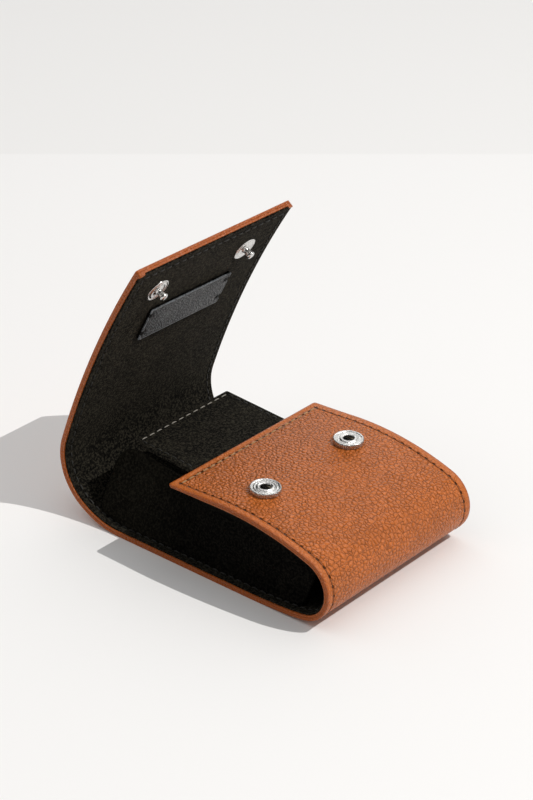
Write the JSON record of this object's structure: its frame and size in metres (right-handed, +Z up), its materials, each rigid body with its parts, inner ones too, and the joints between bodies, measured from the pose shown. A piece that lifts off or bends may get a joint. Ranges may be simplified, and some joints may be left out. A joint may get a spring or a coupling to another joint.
{
  "type": "watch travel case",
  "caption": "Curved leather travel case for one wristwatch, with a front pocket, soft side walls, an inner flap and a hinged lid closed by snaps.",
  "frame": {"origin": "centre of the box's footprint, on the surface that the case rests on, with the lid open", "axes": "+X across the case to the right, -Y towards the closed nose of the pocket, +Y towards the heel and the lid, +Z up"},
  "size_m": [0.08, 0.126, 0.1096],
  "materials": {
    "tan_leather": "pebbled, satin",
    "black_suede": "short suede nap, matte",
    "board": "bonded fibre board, matte",
    "patch_leather": "smooth, satin",
    "nickel": "polished nickel plate",
    "spring_wire": "drawn wire"
  },
  "bodies": {
    "shell": {"shell_leather": "tan_leather", "shell_reinforcement": "board", "shell_lining": "black_suede", "side_wall_left": "black_suede", "side_wall_right": "black_suede", "flap_root": "black_suede", "socket_left": "nickel", "socket_right": "nickel", "socket_eyelet_left": "nickel", "socket_eyelet_right": "nickel", "socket_springs": "spring_wire"},
    "heel": {"heel_leather": "tan_leather", "heel_reinforcement": "board", "heel_lining": "black_suede"},
    "lid": {"lid_leather": "tan_leather", "lid_reinforcement": "board", "lid_lining": "black_suede", "lid_patch": "patch_leather", "stud_left": "nickel", "stud_right": "nickel", "stud_rivet_left": "nickel", "stud_rivet_right": "nickel"},
    "flap": {"flap_top_face": "black_suede", "flap_core": "board", "flap_under_face": "black_suede"}
  },
  "joints": [
    {"name": "heel_flex", "type": "hinge", "parent": "shell", "child": "heel", "pos_m": [0, 0.04901, 0.0046], "axis": [1, 0, 0], "range_deg": [-35.3, 19.41]},
    {"name": "lid_fold", "type": "hinge", "parent": "heel", "child": "lid", "pos_m": [0, 0.06101, 0.02888], "axis": [1, 0, 0], "range_deg": [-75, 41.2]},
    {"name": "flap_press", "type": "hinge", "parent": "shell", "child": "flap", "pos_m": [0, -0.02665, 0.02867], "axis": [1, 0, 0], "range_deg": [-8, 0], "stiffness_Nm_per_rad": 0.06, "springref_deg": 3.44}
  ],
  "couplings": [
    {"joint": "heel_flex", "follows": "lid_fold", "ratio": 0.47}
  ]
}
